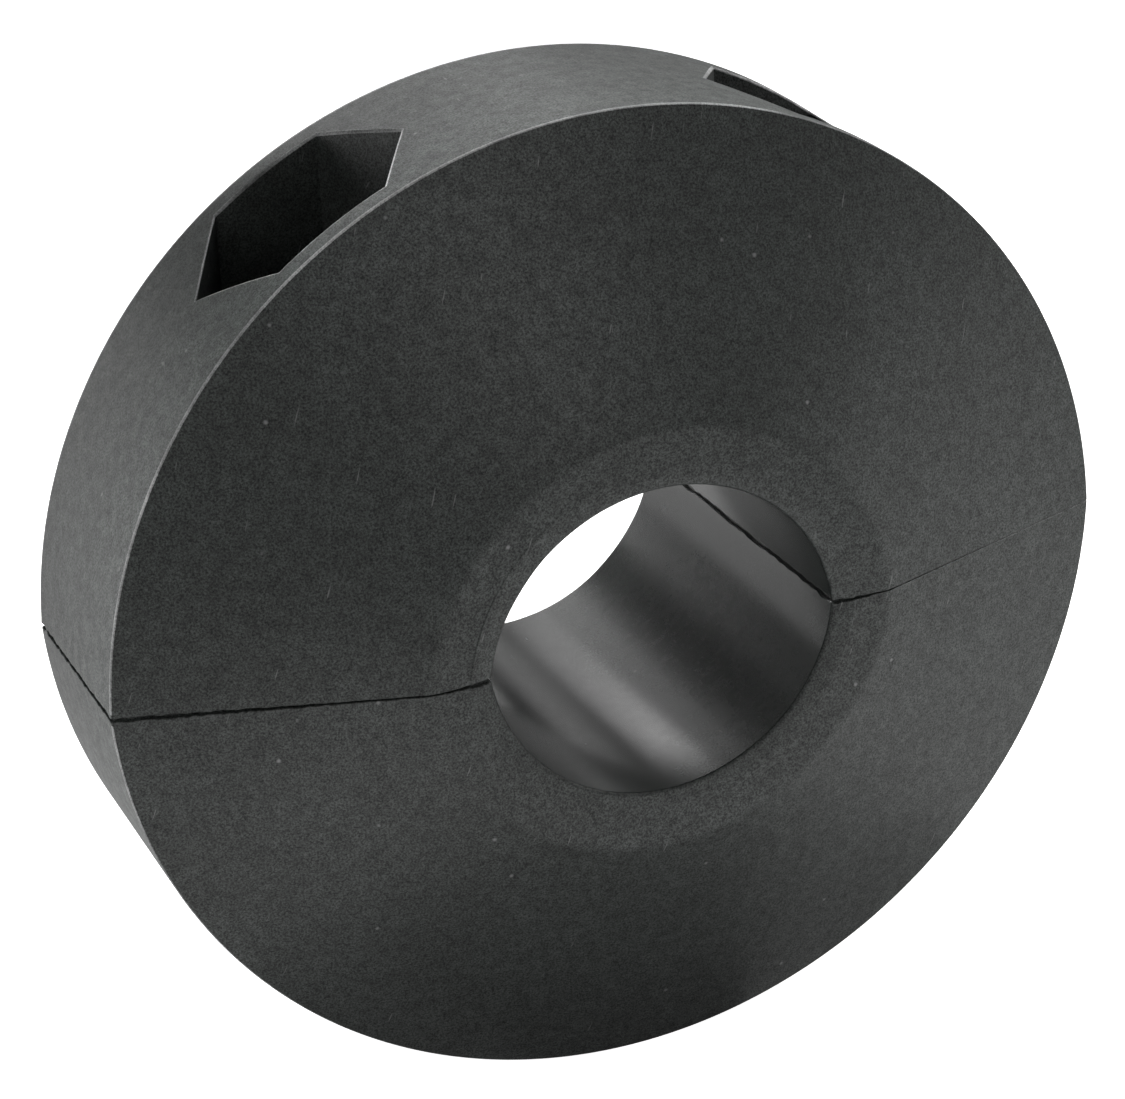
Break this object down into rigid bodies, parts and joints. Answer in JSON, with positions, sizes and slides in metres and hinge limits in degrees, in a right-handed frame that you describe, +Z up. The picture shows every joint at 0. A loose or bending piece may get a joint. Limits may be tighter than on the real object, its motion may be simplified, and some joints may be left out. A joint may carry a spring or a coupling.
{
  "type": "split shaft collar",
  "caption": "Two-piece split shaft collar: moulded halves with conical faces and a round bore, drawn together by socket screws into nuts held in hexagonal rim pockets.",
  "frame": {"origin": "centre of the bore, on the split between the two halves", "axes": "+Y along the shaft, away from the face that is seen; +Z up, square to the split, towards the half with the nuts; +X along the split"},
  "size_m": [0.075, 0.0308, 0.0718],
  "materials": {
    "moulding": "black moulded plastic, fine matte grain, smoother inside the bore",
    "black_oxide_steel": "black oxide alloy steel, lightly oiled",
    "zinc_plated_steel": "bright zinc plate",
    "spring_steel": "plain phosphate spring steel"
  },
  "bodies": {
    "lower_half": {"lower_half": "moulding"},
    "upper_half": {"upper_half": "moulding"},
    "left_nut": {"left_nut": "zinc_plated_steel"},
    "right_nut": {"right_nut": "zinc_plated_steel"},
    "left_screw": {"left_screw": "black_oxide_steel", "left_lock_washer": "spring_steel"},
    "right_screw": {"right_screw": "black_oxide_steel", "right_lock_washer": "spring_steel"}
  },
  "joints": [
    {"name": "left_screw_turn", "type": "hinge", "parent": "lower_half", "child": "left_screw", "pos_m": [-0.0189, 0, -0.014], "axis": [0, 0, -1], "range_deg": [0, 2520]},
    {"name": "right_screw_turn", "type": "hinge", "parent": "lower_half", "child": "right_screw", "pos_m": [0.0189, 0, -0.014], "axis": [0, 0, -1], "range_deg": [0, 2520]},
    {"name": "clamp_opening", "type": "slide", "parent": "lower_half", "child": "upper_half", "axis": [0, 0, 1], "range_m": [0, 0.00875]},
    {"name": "left_nut_lift", "type": "slide", "parent": "upper_half", "child": "left_nut", "axis": [0, 0, 1], "range_m": [0, 0.019]},
    {"name": "right_nut_lift", "type": "slide", "parent": "upper_half", "child": "right_nut", "axis": [0, 0, 1], "range_m": [0, 0.019]}
  ],
  "couplings": [
    {"joint": "left_screw_turn", "follows": "clamp_opening", "rad_per_m": 5026.5},
    {"joint": "right_screw_turn", "follows": "clamp_opening", "rad_per_m": 5026.5}
  ]
}
